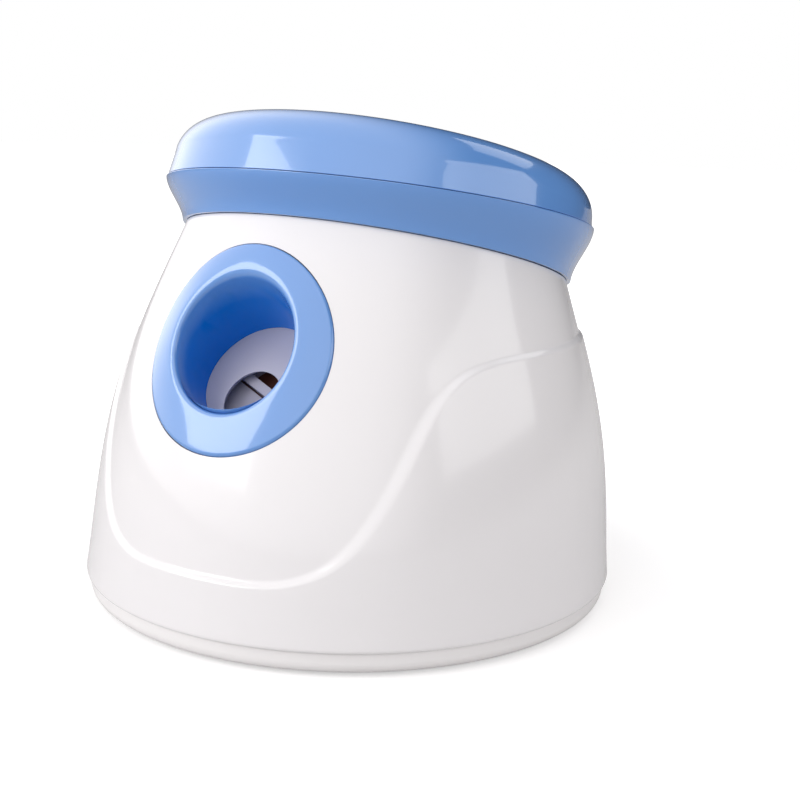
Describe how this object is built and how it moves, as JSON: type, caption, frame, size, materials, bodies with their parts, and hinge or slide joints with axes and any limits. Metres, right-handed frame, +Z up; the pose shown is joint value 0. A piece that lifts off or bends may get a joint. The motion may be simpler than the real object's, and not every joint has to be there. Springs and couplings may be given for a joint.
{
  "type": "automatic dog ball launcher",
  "caption": "Round tapered ball thrower: tilted hopper ring on top, angled muzzle in front, spring plunger wound by a gear train, controls on the back.",
  "frame": {"origin": "on the floor, under the centre of the round base", "axes": "+Z up; balls leave towards -Y and upwards; +X to the right seen from the front; the controls face +Y"},
  "size_m": [0.246, 0.246, 0.2202],
  "materials": {
    "blue_plastic": "glossy moulded ABS",
    "white_plastic": "glossy moulded ABS",
    "grey_plastic": "satin moulded plastic",
    "dark_plastic": "satin moulded plastic",
    "base_white": "satin moulded plastic",
    "gear_plastic": "natural acetal",
    "plunger_plastic": "satin moulded plastic",
    "fibre": "red vulcanised fibre",
    "rubber": "matte rubber",
    "steel": "zinc plated steel",
    "spring_steel": "spring steel",
    "motor_can": "plated steel can",
    "cell_wrap": "glossy printed sleeve, plain",
    "contact_metal": "nickel plated",
    "button_plastic": "glossy moulded plastic",
    "lens_plastic": "clear moulded plastic",
    "board": "solder mask",
    "jack_plastic": "satin moulded plastic"
  },
  "bodies": {
    "housing": {"front_shell": "white_plastic", "rear_shell": "white_plastic", "base_plate": "base_white", "rubber_feet": "rubber", "base_screws": "steel", "hopper_rim": "blue_plastic", "lower_collar": "blue_plastic", "hopper_funnel": "blue_plastic", "launch_bezel": "blue_plastic", "breech_tube": "grey_plastic", "feed_chute": "blue_plastic", "ball_sensor": "dark_plastic", "stop_buffer": "rubber", "breech_cap": "grey_plastic", "drive_spring": "spring_steel", "motor": "motor_can", "gearbox_right_plate": "grey_plastic", "gearbox_left_plate": "grey_plastic", "gear_shafts": "steel", "gearbox_screws": "steel", "battery_cells": "cell_wrap", "battery_contacts": "contact_metal", "battery_door": "base_white", "door_screw": "steel", "control_panel": "grey_plastic", "indicator_lenses": "lens_plastic", "power_jack": "jack_plastic", "circuit_board": "board"},
    "plunger_body": {"plunger": "plunger_plastic", "plunger_rack": "gear_plastic", "spring_seat": "fibre"},
    "pull_gear_body": {"sector_gear": "gear_plastic"},
    "second_gear_body": {"reduction_gear_2": "gear_plastic"},
    "first_gear_body": {"reduction_gear_1": "gear_plastic"},
    "pinion_body": {"motor_pinion": "steel"},
    "button_body": {"power_button": "button_plastic"},
    "sensor_lever_body": {"ball_sensor_lever": "plunger_plastic"}
  },
  "joints": [
    {"name": "pull_gear_turn", "type": "hinge", "parent": "housing", "child": "pull_gear_body", "pos_m": [0, -0.06534, 0.03345], "axis": [-1, 0, 0], "range_deg": [0, 158.91]},
    {"name": "plunger_slide", "type": "slide", "parent": "housing", "child": "plunger_body", "axis": [0, 0.7547, -0.6561], "range_m": [0, 0.052], "deforming": ["drive_spring"]},
    {"name": "second_gear_turn", "type": "hinge", "parent": "housing", "child": "second_gear_body", "pos_m": [0, -0.08382, 0.05448], "axis": [-1, 0, 0], "range_deg": [-476.71, 0]},
    {"name": "first_gear_turn", "type": "hinge", "parent": "housing", "child": "first_gear_body", "pos_m": [0, -0.09602, 0.0357], "axis": [-1, 0, 0], "range_deg": [0, 1430.11]},
    {"name": "motor_pinion_turn", "type": "hinge", "parent": "housing", "child": "pinion_body", "pos_m": [0, -0.07593, 0.03032], "axis": [-1, 0, 0], "range_deg": [-4767.02, 0]},
    {"name": "button_press", "type": "slide", "parent": "housing", "child": "button_body", "axis": [0, -0.9878, -0.156], "range_m": [0, 0.0015], "stiffness_N_per_m": 600, "springref_m": -0.0005},
    {"name": "sensor_lever_swing", "type": "hinge", "parent": "housing", "child": "sensor_lever_body", "pos_m": [0, -0.00015, 0.09702], "axis": [-1, 0, 0], "range_deg": [0, 30], "stiffness_Nm_per_rad": 0.01, "springref_deg": -11.46}
  ],
  "couplings": [
    {"joint": "pull_gear_turn", "follows": "plunger_slide", "rad_per_m": 53.333},
    {"joint": "second_gear_turn", "follows": "plunger_slide", "rad_per_m": -160},
    {"joint": "first_gear_turn", "follows": "plunger_slide", "rad_per_m": 480},
    {"joint": "motor_pinion_turn", "follows": "plunger_slide", "rad_per_m": -1600}
  ]
}
